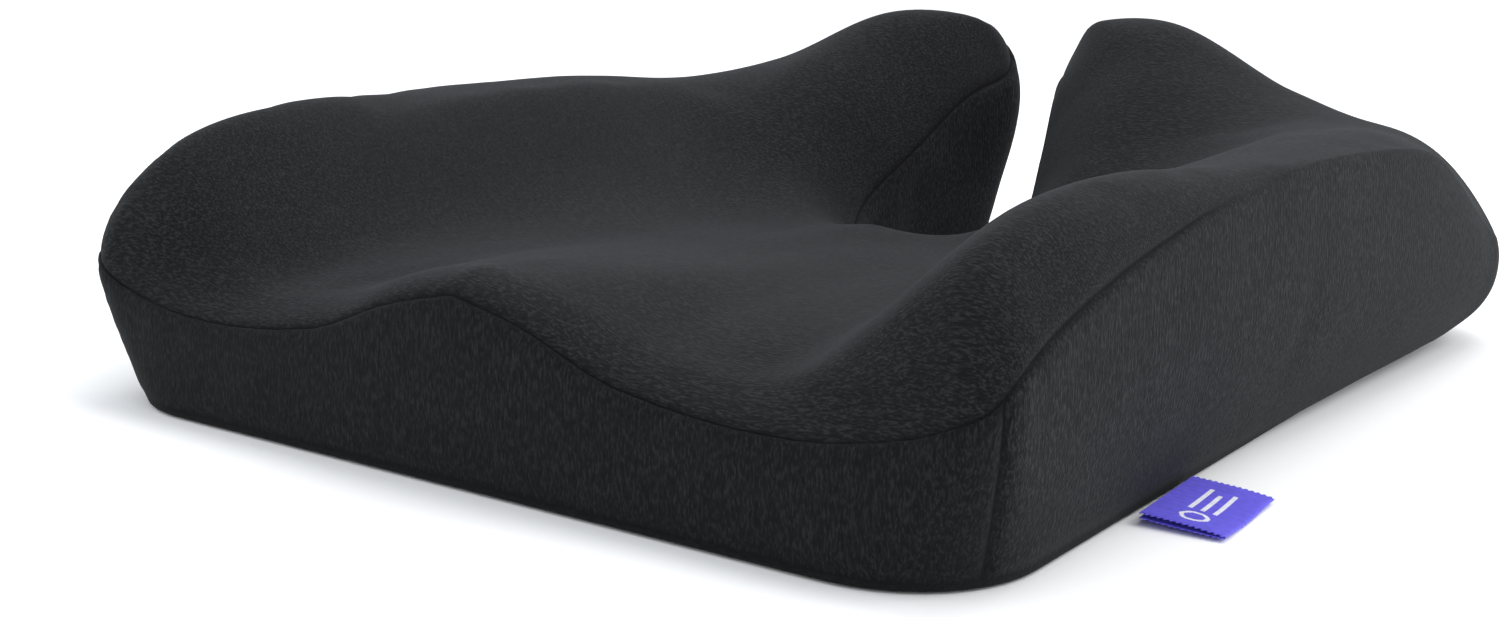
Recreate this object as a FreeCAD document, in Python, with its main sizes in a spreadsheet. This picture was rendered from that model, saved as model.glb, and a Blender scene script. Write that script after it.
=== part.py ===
import FreeCAD, Part
import math
import os
import Sketcher
from FreeCAD import Vector, Rotation, Placement

# Contoured seat cushion: foam core, sewn knit cover, grip dots, zip and labels.
# Millimetres. The origin is on the floor under the middle of the cushion.
# +Z is up, -Y is the front edge (under the thighs), +X is the side with the maker's label.

os.makedirs("parts", exist_ok=True)
doc = FreeCAD.newDocument("SeatCushion")
sheet = doc.addObject("Spreadsheet::Sheet", "Dims")

DIMENSIONS = [
    # plan outline
    ("half_width", 227),
    ("front_half_width", 197),
    ("side_bow", 1),
    ("depth", 462),
    ("front_corner_radius", 22),
    ("rear_corner_radius", 42),
    ("notch_half_width", 41),
    ("notch_depth", 155),
    ("mouth_half_width", 15),
    ("mouth_radius", 14),
    # the walls tuck in towards the floor below tuck_height, most of it below tuck_knee
    ("tuck_height", 56),
    ("tuck_knee", 28),
    ("tuck_side", 8),
    ("tuck_side_rear", 20),
    ("tuck_front", 5),
    ("tuck_rear", 10),
    ("tuck_notch", 6),
    ("tuck_front_corner", 22),
    ("tuck_rear_corner", 26),
    # how far the top rolls over towards its seam: width across and drop
    ("roll_front_width", 18),
    ("roll_front_drop", 9),
    ("roll_nose_width", 28),
    ("roll_nose_drop", 41),
    ("roll_side_width", 42),
    ("roll_side_drop", 20),
    ("roll_rear_width", 46),
    ("roll_rear_drop", 46),
    ("roll_notch_width", 30),
    ("roll_notch_drop", 22),
    # cover
    ("cover_thickness", 2),
    ("cover_gap", 0.4),
    ("base_thickness", 1.6),
    ("rim_height", 6),
    # grip dots
    ("dot_height", 0.6),
    ("dot_radius", 4),
    ("dot_pitch", 56),
    # zip in the left wall, measured in the plane of the wall
    ("zip_length", 200),
    ("zip_middle_y", -12),
    ("zip_middle_z", 17),
    ("window_half_height", 9),
    ("tape_width", 7),
    ("tape_thickness", 0.8),
    ("tooth_pitch", 3.2),
    ("tooth_length", 1.6),
    ("tooth_reach", 1.2),
    ("tooth_thickness", 1.8),
    ("chain_gap", 0.8),
    ("slider_length", 11),
    ("slider_half_width", 4.2),
    ("plate_thickness", 1.2),
    ("bar_radius", 0.6),
    ("bar_height", 3.1),
    ("tab_length", 26),
    ("tab_thickness", 1.2),
    ("tab_half_width", 3.6),
    # labels
    ("label_length", 46),
    ("label_reach", 27),
    ("label_layer", 0.7),
    ("care_width", 30),
    ("care_reach", 26),
    ("care_thickness", 0.5),
]

# Height of the top before it rolls over, at six stations from the middle line to the
# side, on six sections from the front edge to the rear edge.
STATIONS = {"centre": 0.0, "flank": 0.15, "channel": 0.35, "bowl": 0.6, "shoulder": 0.8, "edge": 1.0}
SECTIONS = {"front": 0.0, "thigh": 0.15, "seat": 0.4, "tail": 0.67, "rise": 0.84, "lobe": 1.0}
HEIGHTS = {
    "front": (76, 69, 55, 53, 64, 104),
    "thigh": (66, 64, 56, 60, 97, 135),
    "seat": (53, 52, 52, 64, 96, 124),
    "tail": (54, 53, 62, 80, 100, 117),
    "rise": (86, 97, 113, 104, 98, 104),
    "lobe": (152, 166, 156, 115, 89, 82),
}

row = 0


def add_cell(alias, value):
    global row
    row += 1
    sheet.set("A%d" % row, alias)
    sheet.set("B%d" % row, str(value))
    sheet.setAlias("B%d" % row, alias)


for alias, value in DIMENSIONS:
    add_cell(alias, value)
for section in SECTIONS:
    for station, value in zip(STATIONS, HEIGHTS[section]):
        add_cell("%s_%s" % (section, station), value)
doc.recompute()


def dim(alias):
    return float(sheet.get(alias))


# ---------------------------------------------------------------- plan outline

HALF = dim("half_width")
FRONT_HALF = dim("front_half_width")
FRONT_Y = -dim("depth") / 2
REAR_Y = dim("depth") / 2
NOTCH_Y = REAR_Y - dim("notch_depth") + dim("notch_half_width")
T = dim("cover_thickness")
GAP = dim("cover_gap")
SIDE_BOW = dim("side_bow")
FLOOR_OF_COVER = dim("dot_height")
TALL = 170


def outline_geometry(tuck, draw_in):
    """Key points of the right half of the outline.

    tuck is how far down the tucked-in part of the wall the outline lies (0 to 1), and
    draw_in is how far inside the cover's outer face it lies.
    """
    side, side_rear, front, rear, notch = [
        dim("tuck_" + name) * tuck + draw_in for name in ("side", "side_rear", "front", "rear", "notch")
    ]
    half, front_half = HALF - side_rear, FRONT_HALF - side
    low, high = FRONT_Y + front, REAR_Y - rear
    front_r = dim("front_corner_radius") + dim("tuck_front_corner") * tuck - draw_in
    rear_r = dim("rear_corner_radius") + dim("tuck_rear_corner") * tuck - draw_in
    mouth_r = dim("mouth_radius") - (rear + notch) / 2
    notch_r = dim("notch_half_width") + notch
    mouth = (dim("mouth_half_width") + notch + mouth_r, high - mouth_r)
    # the notch wall is the straight line that touches the mouth arc and the end arc
    across, along = mouth[0], mouth[1] - NOTCH_Y
    reach = math.hypot(across, along)
    lean = math.atan2(along, across) - math.acos((mouth_r + notch_r) / reach)
    return {
        "half": half, "front_half": front_half, "low": low, "high": high, "front_r": front_r, "rear_r": rear_r,
        "mouth_r": mouth_r, "notch_r": notch_r, "mouth": mouth, "lean": lean,
    }


def outline_arcs(g):
    """Arcs of the right half from front to notch: centre, radius, start and end angle."""
    return [
        ((g["front_half"] - g["front_r"], g["low"] + g["front_r"]), g["front_r"], -math.pi / 2, 0),
        ((g["half"] - g["rear_r"], g["high"] - g["rear_r"]), g["rear_r"], 0, math.pi / 2),
        (g["mouth"], g["mouth_r"], math.pi / 2, math.pi + g["lean"]),
        ((0, NOTCH_Y), g["notch_r"], g["lean"], -math.pi / 2),
    ]


def on_arc(arc, share):
    (cx, cy), radius, start, end = arc
    angle = start + (end - start) * share
    return cx + radius * math.cos(angle), cy + radius * math.sin(angle)


def outline_wire(z, tuck, draw_in):
    """Closed wire of the whole outline at height z; the sides bow outwards above the tuck."""
    arcs = outline_arcs(outline_geometry(tuck, draw_in))
    right = [[on_arc(arc, share) for share in (0, 0.5, 1)] for arc in arcs]
    bow = SIDE_BOW * (1 - tuck) + 0.01
    bowed = ((right[0][2][0] + right[1][0][0]) / 2 + bow, (right[0][2][1] + right[1][0][1]) / 2)
    right.insert(1, [right[0][2], bowed, right[1][0]])
    left = [[(-x, y) for x, y in reversed(points)] for points in reversed(right)]
    edges = []
    last = left[-1][-1]
    for points in right + left:
        start, middle, end = [Vector(x, y, z) for x, y in points]
        if math.hypot(start.x - last[0], start.y - last[1]) > 1e-6:
            edges.append(Part.makeLine(Vector(last[0], last[1], z), start))
        edges.append(Part.Arc(start, middle, end).toShape())
        last = points[-1]
    return Part.Wire(edges)


def tuck_at(z):
    """Share of the full tuck at height z: half of it at the knee, none from tuck_height up."""
    knee, top = dim("tuck_knee"), dim("tuck_height")
    if z < knee:
        return 1 - 0.5 * z / knee
    return 0.5 * max(0.0, top - z) / (top - knee)


def envelope(draw_in, bottom):
    """Upright solid inside the outline, drawn in by draw_in, from bottom to well above the top."""
    heights = (bottom, dim("tuck_knee"), dim("tuck_height"), TALL)
    return Part.makeLoft([outline_wire(z, tuck_at(z), draw_in) for z in heights], True, True)


# ---------------------------------------------------------------- shape of the top


def through_points(places, values, at):
    """Smooth curve through the values at the given places."""
    at = min(max(at, places[0]), places[-1])
    i = 0
    while at > places[i + 1]:
        i += 1
    slopes = []
    for k in (i, i + 1):
        low, high = max(k - 1, 0), min(k + 1, len(places) - 1)
        slopes.append((values[high] - values[low]) / (places[high] - places[low]))
    step = places[i + 1] - places[i]
    u = (at - places[i]) / step
    rise = values[i + 1] - values[i]
    bend = (slopes[0] * step - rise) * (1 - u) - (slopes[1] * step - rise) * u
    return values[i] + rise * u + u * (1 - u) * bend


STATION_PLACES = list(STATIONS.values())
SECTION_PLACES = list(SECTIONS.values())
SECTION_HEIGHTS = [[dim("%s_%s" % (s, k)) for k in STATIONS] for s in SECTIONS]


def unrolled_height(x, y):
    along = (y - FRONT_Y) / (REAR_Y - FRONT_Y)
    across = abs(x) / (FRONT_HALF + (HALF - FRONT_HALF) * min(max(along, 0) / 0.88, 1))
    column = [through_points(STATION_PLACES, heights, across) for heights in SECTION_HEIGHTS]
    return through_points(SECTION_PLACES, column, along)


def smoothstep(t):
    t = min(max(t, 0.0), 1.0)
    return t * t * (3 - 2 * t)


def edge_points():
    """Points along the right half of the outline, each with its roll-over width and drop."""
    g = outline_geometry(0, 0)
    arcs = outline_arcs(g)
    corners = [(0.0, g["low"])]
    for arc in arcs:
        if arc is arcs[1]:
            (start_x, start_y), (end_x, end_y) = corners[-1], on_arc(arc, 0)
            for k in range(1, 16):
                bow = SIDE_BOW * 4 * (k / 16) * (1 - k / 16)
                x = start_x + (end_x - start_x) * k / 16 + bow
                corners.append((x, start_y + (end_y - start_y) * k / 16))
        corners += [on_arc(arc, k / 16) for k in range(17)]
    points = []
    for (x0, y0), (x1, y1) in zip(corners, corners[1:]):
        steps = max(1, int(math.hypot(x1 - x0, y1 - y0) / 3))
        points += [(x0 + (x1 - x0) * k / steps, y0 + (y1 - y0) * k / steps) for k in range(steps)]
    points.append(corners[-1])
    widths, drops = [], []
    for x, y in points:
        along = (y - FRONT_Y) / (REAR_Y - FRONT_Y)
        if x < 70 and y > NOTCH_Y - 60 and y < REAR_Y - 30:
            end, start = "notch", "notch"
        else:
            end, start = "side", "nose"
        middle = smoothstep((FRONT_HALF - x) / 45) if along < 0.03 else 0.0
        later = smoothstep((along - 0.12) / 0.38)
        width, drop = [
            middle * dim("roll_front_" + size)
            + (1 - middle) * (dim("roll_%s_%s" % (start, size)) * (1 - later) + dim("roll_%s_%s" % (end, size)) * later)
            for size in ("width", "drop")
        ]
        rear = smoothstep((along - 0.72) / 0.2) if end == "side" else 0.0
        widths.append(width + (dim("roll_rear_width") - width) * rear)
        drops.append(drop + (dim("roll_rear_drop") - drop) * rear)
    return points, evened(evened(widths)), evened(evened(drops))


def evened(values, reach=7):
    """Moving average that takes the steps out of the values."""
    out = []
    for i in range(len(values)):
        near = values[max(0, i - reach):i + reach + 1]
        out.append(sum(near) / len(near))
    return out


EDGE, ROLL_WIDTHS, ROLL_DROPS = edge_points()


def is_inside(x, y):
    """Whether a point lies within the outline (EDGE from the middle line round to the notch)."""
    loop = EDGE + [(0.0, EDGE[0][1])]
    inside = False
    for (x0, y0), (x1, y1) in zip(loop, loop[1:]):
        if (y0 > y) != (y1 > y) and x < x0 + (x1 - x0) * (y - y0) / (y1 - y0):
            inside = not inside
    return inside


def edge_fall(x, y):
    """Drop of the roll-over at a point on or inside the outline."""
    fall = 0.0
    for (px, py), width, drop in zip(EDGE, ROLL_WIDTHS, ROLL_DROPS):
        away = math.hypot(px - x, py - y)
        if away < width:
            fall = max(fall, drop * (1 - away / width) ** 2)
    return fall


EDGE_FALLS = [edge_fall(x, y) for x, y in EDGE]


def top_height(x, y):
    """Height of the cover's top: the unrolled height, rolled over towards the outline."""
    x = abs(x)
    if is_inside(max(x, 0.01), y):
        return unrolled_height(x, y) - edge_fall(x, y)
    near = min(range(len(EDGE)), key=lambda i: (EDGE[i][0] - x) ** 2 + (EDGE[i][1] - y) ** 2)
    distance = math.hypot(EDGE[near][0] - x, EDGE[near][1] - y)
    steep = 2 * ROLL_DROPS[near] / ROLL_WIDTHS[near]
    return unrolled_height(x, y) - EDGE_FALLS[near] - steep * min(distance, 12)


def top_sheet():
    """One smooth face over the whole cushion, at the height of the cover's top."""
    columns, rows = 32, 60
    margin = 8.0
    widest = HALF + SIDE_BOW + margin
    right = [widest * k / columns for k in range(columns + 1)]
    ys = [FRONT_Y - margin + (REAR_Y - FRONT_Y + 2 * margin) * k / rows for k in range(rows + 1)]
    heights = [[top_height(x, y) for y in ys] for x in right]
    xs = [-x for x in reversed(right[1:])] + right
    grid = [list(line) for line in reversed(heights[1:])] + heights
    points = [[Vector(x, y, z) for y, z in zip(ys, line)] for x, line in zip(xs, grid)]
    surface = Part.BSplineSurface()
    surface.interpolate(points)
    return surface.toShape()


# ---------------------------------------------------------------- document helpers


def shape_feature(name, shape, placement=Placement()):
    feature = doc.addObject("Part::Feature", name)
    feature.Shape = shape
    feature.Placement = placement
    return feature


def boolean(kind, name, base, tool):
    feature = doc.addObject("Part::" + kind, name)
    feature.Base = base
    feature.Tool = tool
    return feature


def fused(name, pieces):
    feature = doc.addObject("Part::MultiFuse", name)
    feature.Shapes = pieces
    return feature


def box(name, size, corner, frame=Placement()):
    """Box in a frame; each size is a sheet expression, each corner value a number."""
    feature = doc.addObject("Part::Box", name)
    for prop, expression in zip(("Length", "Width", "Height"), size):
        feature.setExpression(prop, expression)
    feature.Placement = frame.multiply(Placement(Vector(*corner), Rotation()))
    return feature


def prism(name, points, low, high):
    """Upright block over a polygon of (x, y) points."""
    corners = [Vector(x, y, low) for x, y in points]
    face = Part.Face(Part.makePolygon(corners + corners[:1]))
    return shape_feature(name, face.extrude(Vector(0, 0, high - low)))


def new_body(name, frame=Placement()):
    body = doc.addObject("PartDesign::Body", name)
    body.Placement = frame
    return body


def origin_feature(body, role):
    return [feature for feature in body.Origin.OriginFeatures if feature.Role == role][0]


def new_sketch(body, name, role):
    """Empty sketch on one of the body's own planes."""
    sketch = body.newObject("Sketcher::SketchObject", name)
    sketch.AttachmentSupport = (origin_feature(body, role), [""])
    sketch.MapMode = "FlatFace"
    return sketch


def rectangle_sketch(body, name, role, left, right, low, high):
    """Rectangle whose four sides are placed by sheet expressions."""
    sketch = new_sketch(body, name, role)
    corners = [Vector(0, 0, 0), Vector(1, 0, 0), Vector(1, 1, 0), Vector(0, 1, 0)]
    for start, end in zip(corners, corners[1:] + corners[:1]):
        sketch.addGeometry(Part.LineSegment(start, end), False)
    for k in range(4):
        sketch.addConstraint(Sketcher.Constraint("Coincident", k, 2, (k + 1) % 4, 1))
    for k, kind in enumerate(("Horizontal", "Vertical", "Horizontal", "Vertical")):
        sketch.addConstraint(Sketcher.Constraint(kind, k))
    placed = (("DistanceX", 0, 1, left), ("DistanceX", 1, 1, right), ("DistanceY", 0, 1, low), ("DistanceY", 2, 1, high))
    for kind, line, point, expression in placed:
        index = sketch.addConstraint(Sketcher.Constraint(kind, -1, 1, line, point, 1.0))
        sketch.setExpression("Constraints[%d]" % index, expression)
    return sketch


def pad(body, name, sketch, length, symmetric=False):
    doc.recompute()
    feature = body.newObject("PartDesign::Pad", name)
    feature.Profile = sketch
    feature.setExpression("Length", length)
    if symmetric:
        feature.SideType = "Symmetric"
    return feature


# ---------------------------------------------------------------- cover and foam core

BASE_TOP = FLOOR_OF_COVER + dim("base_thickness")
RIM = dim("rim_height")

cover_top = shape_feature("CoverTop", top_sheet())
outer_envelope = shape_feature("OuterEnvelope", envelope(0, FLOOR_OF_COVER))
inner_envelope = shape_feature("InnerEnvelope", envelope(T, BASE_TOP))
core_envelope = shape_feature("CoreEnvelope", envelope(T + GAP, BASE_TOP + GAP))

skin_layer = doc.addObject("Part::Extrusion", "SkinLayer")
skin_layer.Base = cover_top
skin_layer.DirMode = "Custom"
skin_layer.Dir = Vector(0, 0, -1)
skin_layer.setExpression("LengthFwd", "Dims.cover_thickness")
skin_layer.Solid = True

under_skin = doc.addObject("Part::Extrusion", "UnderSkin")
under_skin.Base = cover_top
under_skin.DirMode = "Custom"
under_skin.Dir = Vector(0, 0, -1)
under_skin.LengthFwd = 2 * TALL
under_skin.Solid = True
under_skin.setExpression("Placement.Base.z", "-(Dims.cover_thickness + Dims.cover_gap)")

top_panel = boolean("Common", "top_panel", outer_envelope, skin_layer)
cover_shell = boolean("Cut", "CoverShell", outer_envelope, inner_envelope)
wall_band = boolean("Common", "WallBand", cover_shell, under_skin)

REACH = HALF + 60
rim_block = prism("RimBlock", [(-REACH, -REACH), (REACH, -REACH), (REACH, REACH), (-REACH, REACH)], -5, RIM)
rim_cut = prism("RimCut", [(-REACH, -REACH), (REACH, -REACH), (REACH, REACH), (-REACH, REACH)], -5, RIM + GAP)
base_panel = boolean("Common", "base_panel", cover_shell, rim_block)
upper_band = boolean("Cut", "UpperBand", wall_band, rim_cut)

# upright seams between the wall panels: at the front corners, behind the rear corners and
# at both sides of the notch's mouth
CORNER_X = FRONT_HALF - dim("front_corner_radius")
CORNER_Y = FRONT_Y + dim("front_corner_radius")
REAR_SEAM_X = HALF - dim("rear_corner_radius")
MOUTH_X = dim("mouth_half_width") + dim("mouth_radius") + 4
MOUTH_Y = REAR_Y - dim("mouth_radius") - 2
FAR = 100


def seam_slab(name, x, y, angle):
    """Thin upright slab that opens a seam, running from (x, y) outwards at the given angle."""
    slab = Part.makeBox(FAR, GAP, 2 * TALL, Vector(0, -GAP / 2, -TALL))
    return shape_feature(name, slab, Placement(Vector(x, y, 0), Rotation(Vector(0, 0, 1), angle)))


seams = fused("Seams", [
    seam_slab("SeamFrontRight", CORNER_X, CORNER_Y, -45),
    seam_slab("SeamFrontLeft", -CORNER_X, CORNER_Y, -135),
    seam_slab("SeamRearRight", REAR_SEAM_X, MOUTH_Y, 90),
    seam_slab("SeamRearLeft", -REAR_SEAM_X, MOUTH_Y, 90),
    seam_slab("SeamMouthRight", MOUTH_X, MOUTH_Y, 90),
    seam_slab("SeamMouthLeft", -MOUTH_X, MOUTH_Y, 90),
])
wall_pieces = boolean("Cut", "WallPieces", upper_band, seams)

side_sector = [
    (CORNER_X, CORNER_Y), (CORNER_X + FAR, CORNER_Y - FAR), (REACH, REACH),
    (REAR_SEAM_X, REACH), (REAR_SEAM_X, MOUTH_Y),
]
rear_sector = [(MOUTH_X, MOUTH_Y), (REAR_SEAM_X, MOUTH_Y), (REAR_SEAM_X, REACH), (MOUTH_X, REACH)]
notch_sector = [
    (-60, NOTCH_Y - 60), (60, NOTCH_Y - 60), (60, MOUTH_Y), (MOUTH_X, MOUTH_Y), (MOUTH_X, REACH),
    (-MOUTH_X, REACH), (-MOUTH_X, MOUTH_Y), (-60, MOUTH_Y),
]
front_sector = [
    (-CORNER_X, CORNER_Y), (-CORNER_X - FAR, CORNER_Y - FAR),
    (CORNER_X + FAR, CORNER_Y - FAR), (CORNER_X, CORNER_Y),
]


def mirrored(points):
    return [(-x, y) for x, y in reversed(points)]


def wall_panel(name, sector):
    return boolean("Common", name, wall_pieces, prism(name + "_sector", sector, -TALL, TALL))


front_panel = wall_panel("front_panel", front_sector)
right_side_panel = wall_panel("right_side_panel", side_sector)
left_wall = doc.addObject("Part::Mirroring", "LeftWall")
left_wall.Source = right_side_panel
left_wall.Normal = Vector(1, 0, 0)
rear_right_panel = wall_panel("rear_right_panel", rear_sector)
rear_left_panel = wall_panel("rear_left_panel", mirrored(rear_sector))
notch_panel = wall_panel("notch_panel", notch_sector)

# ---------------------------------------------------------------- zip in the left wall

# frame of the zip: x out of the wall, y towards the front, z up the wall
ZIP_Y, ZIP_Z = dim("zip_middle_y"), dim("zip_middle_z")


def side_wall_x(y, z):
    """Distance of the side wall's outer face from the middle plane."""
    tuck = tuck_at(z)
    g = outline_geometry(tuck, 0)
    start, end = on_arc(outline_arcs(g)[0], 1), on_arc(outline_arcs(g)[1], 0)
    share = (y - start[1]) / (end[1] - start[1])
    bow = (SIDE_BOW * (1 - tuck) + 0.01) * 4 * share * (1 - share)
    return start[0] + (end[0] - start[0]) * share + bow


knee = dim("tuck_knee")
wall_lean = math.degrees(math.atan2(side_wall_x(ZIP_Y, knee) - side_wall_x(ZIP_Y, 0), knee))
half_run = dim("zip_length") / 2
front_end, rear_end = side_wall_x(ZIP_Y - half_run, ZIP_Z), side_wall_x(ZIP_Y + half_run, ZIP_Z)
wall_turn = math.degrees(math.atan2(rear_end - front_end, 2 * half_run))
zip_turn = Rotation(Vector(0, 0, 1), wall_turn).multiply(Rotation(Vector(0, 1, 0), -wall_lean))
zip_turn = zip_turn.multiply(Rotation(Vector(0, 0, 1), 180))
zip_out = (side_wall_x(ZIP_Y, ZIP_Z) * 2 + front_end / 2 + rear_end / 2) / 3
ZIP = Placement(Vector(-zip_out, ZIP_Y, ZIP_Z), zip_turn)

HALF_ZIP = dim("zip_length") / 2
WINDOW = dim("window_half_height")
window = box(
    "ZipWindow", ("20", "Dims.zip_length + 4", "2 * Dims.window_half_height"), (-10, -HALF_ZIP - 2, -WINDOW), ZIP)
left_side_panel = boolean("Cut", "left_side_panel", left_wall, window)

# the foam is hollowed behind the zip so that the slider has room to run
foam_block = boolean("Common", "FoamBlock", core_envelope, under_skin)
groove = box(
    "ZipGroove", ("20", "Dims.zip_length + 4", "2 * Dims.window_half_height"), (-6, -HALF_ZIP - 2, -WINDOW), ZIP)
foam_core = boolean("Cut", "foam_core", foam_block, groove)

TAPE_INNER = dim("chain_gap") / 2 + dim("tooth_reach")
TAPE_X = -1.4
tape_size = ("Dims.tape_thickness", "Dims.zip_length", "Dims.tape_width")
zipper_tape_upper = box("zipper_tape_upper", tape_size, (TAPE_X, -HALF_ZIP, TAPE_INNER), ZIP)
zipper_tape_lower = box(
    "zipper_tape_lower", tape_size, (TAPE_X, -HALF_ZIP, -TAPE_INNER - dim("tape_width")), ZIP)

# rows of teeth: each is a strip that carries teeth at an even pitch, clamped on its tape
CHAIN_X = TAPE_X + dim("tape_thickness") / 2
TEETH = int((dim("zip_length") - 16) / dim("tooth_pitch"))


def tooth_row(name, side, shift):
    """Row of teeth on one tape; side is 1 for the upper tape and -1 for the lower."""
    body = new_body(name, ZIP.multiply(Placement(Vector(CHAIN_X, shift, 0), Rotation())))
    reach = "(Dims.chain_gap / 2 + Dims.tooth_reach)"
    root = "(Dims.chain_gap / 2 + Dims.tooth_reach * 0.6)"
    tip = "(Dims.chain_gap / 2)"
    ends = {1: ((root, reach), (tip, reach)), -1: (("-" + reach, "-" + root), ("-" + reach, "-" + tip))}[side]
    strip = rectangle_sketch(body, name + "_strip", "XZ_Plane", "-0.4", "0.4", ends[0][0], ends[0][1])
    pad(body, name + "_strip_pad", strip, "Dims.zip_length - 12", True)
    half = "Dims.tooth_thickness / 2"
    tooth = rectangle_sketch(body, name + "_tooth", "XZ_Plane", "-" + half, half, ends[1][0], ends[1][1])
    first = (TEETH - 1) * dim("tooth_pitch") / 2
    tooth.AttachmentOffset = Placement(Vector(0, 0, first - dim("tooth_length") / 2), Rotation())
    tooth_pad = pad(body, name + "_tooth_pad", tooth, "Dims.tooth_length")
    doc.recompute()
    row_pattern = body.newObject("PartDesign::LinearPattern", name + "_pattern")
    row_pattern.Originals = [tooth_pad]
    row_pattern.Direction = (origin_feature(body, "Y_Axis"), [""])
    row_pattern.Occurrences = TEETH
    row_pattern.setExpression("Length", "Dims.tooth_pitch * %d" % (TEETH - 1))
    body.Tip = row_pattern
    return body


zipper_teeth_upper = tooth_row("zipper_teeth_upper", 1, 0)
zipper_teeth_lower = tooth_row("zipper_teeth_lower", -1, dim("tooth_pitch") / 2)

# stops at the ends of the chain
stop_size = ("2.4", "2", "4.4")
zipper_top_stop = box("zipper_top_stop", stop_size, (CHAIN_X + 0.5, HALF_ZIP - 3, -2.2), ZIP)
zipper_end_stop = box("zipper_end_stop", stop_size, (CHAIN_X + 0.5, -HALF_ZIP + 1, -2.2), ZIP)

# slider: two plates joined by a divider at the front, with lips that guide the tapes
SLIDER_Y = HALF_ZIP - 12
PLATE = dim("plate_thickness")
HALF_SLIDER = dim("slider_length") / 2
SLIDER = ZIP.multiply(Placement(Vector(0, SLIDER_Y, 0), Rotation()))
TOP_X = 0.2
LOW_X = TAPE_X - 2.0
side_width = dim("slider_half_width")


def slider_plate(name, x):
    """Plate that narrows towards the closed chain."""
    plate = doc.addObject("Part::Wedge", name)
    plate.Xmin = plate.X2min = x
    plate.Xmax = plate.X2max = x + PLATE
    plate.Ymin = -HALF_SLIDER
    plate.Ymax = HALF_SLIDER
    plate.Zmin, plate.Zmax = -side_width + 0.9, side_width - 0.9
    plate.Z2min, plate.Z2max = -side_width, side_width
    plate.Placement = SLIDER
    return plate


def slider_block(name, size, corner):
    return box(name, size, corner, SLIDER)


slider_pieces = [slider_plate("SliderTop", TOP_X), slider_plate("SliderUnder", LOW_X)]
slider_pieces.append(
    slider_block("SliderDivider", ("%g" % (TOP_X - LOW_X), "3", "0.5"), (LOW_X, HALF_SLIDER - 3, -0.25)))
for side in (-1, 1):
    edge = side * (side_width - 1.5) - 0.3
    slider_pieces.append(slider_block("SliderLipTop%d" % (side + 1), ("0.6", "8", "0.6"), (TOP_X - 0.5, -4, edge)))
    slider_pieces.append(
        slider_block("SliderLipLow%d" % (side + 1), ("0.6", "8", "0.6"), (LOW_X + PLATE - 0.1, -4, edge)))
    slider_pieces.append(
        slider_block("SliderEar%d" % (side + 1), ("3", "2.4", "0.8"), (TOP_X + PLATE - 0.1, -1.2, side * 2.7 - 0.4)))
slider_bar = doc.addObject("Part::Cylinder", "SliderBar")
slider_bar.setExpression("Radius", "Dims.bar_radius")
slider_bar.Height = 5.6
slider_bar.Placement = SLIDER.multiply(Placement(Vector(dim("bar_height"), 0, -2.8), Rotation()))
zipper_slider = fused("zipper_slider", slider_pieces + [slider_bar])

# pull tab: an eye round the slider's bar and a plate with a rounded end
pull_tab = new_body(
    "zipper_pull_tab", SLIDER.multiply(Placement(Vector(dim("bar_height"), 0, 0), Rotation())))
EYE = 1.5
NECK = 2.0
wide = dim("tab_half_width")
long = dim("tab_length")
tab_sketch = new_sketch(pull_tab, "TabOutline", "YZ_Plane")
tab_corners = [(0, -NECK), (0, NECK), (-8, NECK), (-12, wide), (wide - long, wide)]
tab_corners += [(wide - long, -wide), (-12, -wide), (-8, -NECK)]
for k in range(len(tab_corners)):
    start, end = tab_corners[k], tab_corners[(k + 1) % len(tab_corners)]
    if k == 4:
        tip = Vector(-long, 0, 0)
        tab_sketch.addGeometry(Part.Arc(Vector(*start, 0), tip, Vector(*end, 0)), False)
    else:
        tab_sketch.addGeometry(Part.LineSegment(Vector(*start, 0), Vector(*end, 0)), False)
pad(pull_tab, "TabPlate", tab_sketch, "Dims.tab_thickness", True)
eye_sketch = new_sketch(pull_tab, "TabEye", "XY_Plane")
eye_sketch.addGeometry(Part.Circle(Vector(0, 0, 0), Vector(0, 0, 1), EYE), False)
pad(pull_tab, "TabEyePad", eye_sketch, "%g" % (2 * NECK), True)
doc.recompute()


def pocket_through(body, name, role, centre, radius):
    sketch = new_sketch(body, name + "_sketch", role)
    sketch.addGeometry(Part.Circle(Vector(*centre, 0), Vector(0, 0, 1), radius), False)
    doc.recompute()
    before = body.Shape.Volume
    pocket = body.newObject("PartDesign::Pocket", name)
    pocket.Profile = sketch
    pocket.Type = "ThroughAll"
    pocket.SideType = "Symmetric"
    doc.recompute()
    if body.Shape.Volume > before - 0.01:
        raise RuntimeError(name + " cut nothing")


pocket_through(pull_tab, "TabBore", "XY_Plane", (0, 0), dim("bar_radius") + 0.2)
pocket_through(pull_tab, "TabSlot", "YZ_Plane", (wide - long, 0), 1.6)

# ---------------------------------------------------------------- labels and grip dots

# maker's label: a band folded in two, sewn into the seam at the foot of the right side
LABEL_Y = -104
LAYER = dim("label_layer")
LABEL_REACH = dim("label_reach")


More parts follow.
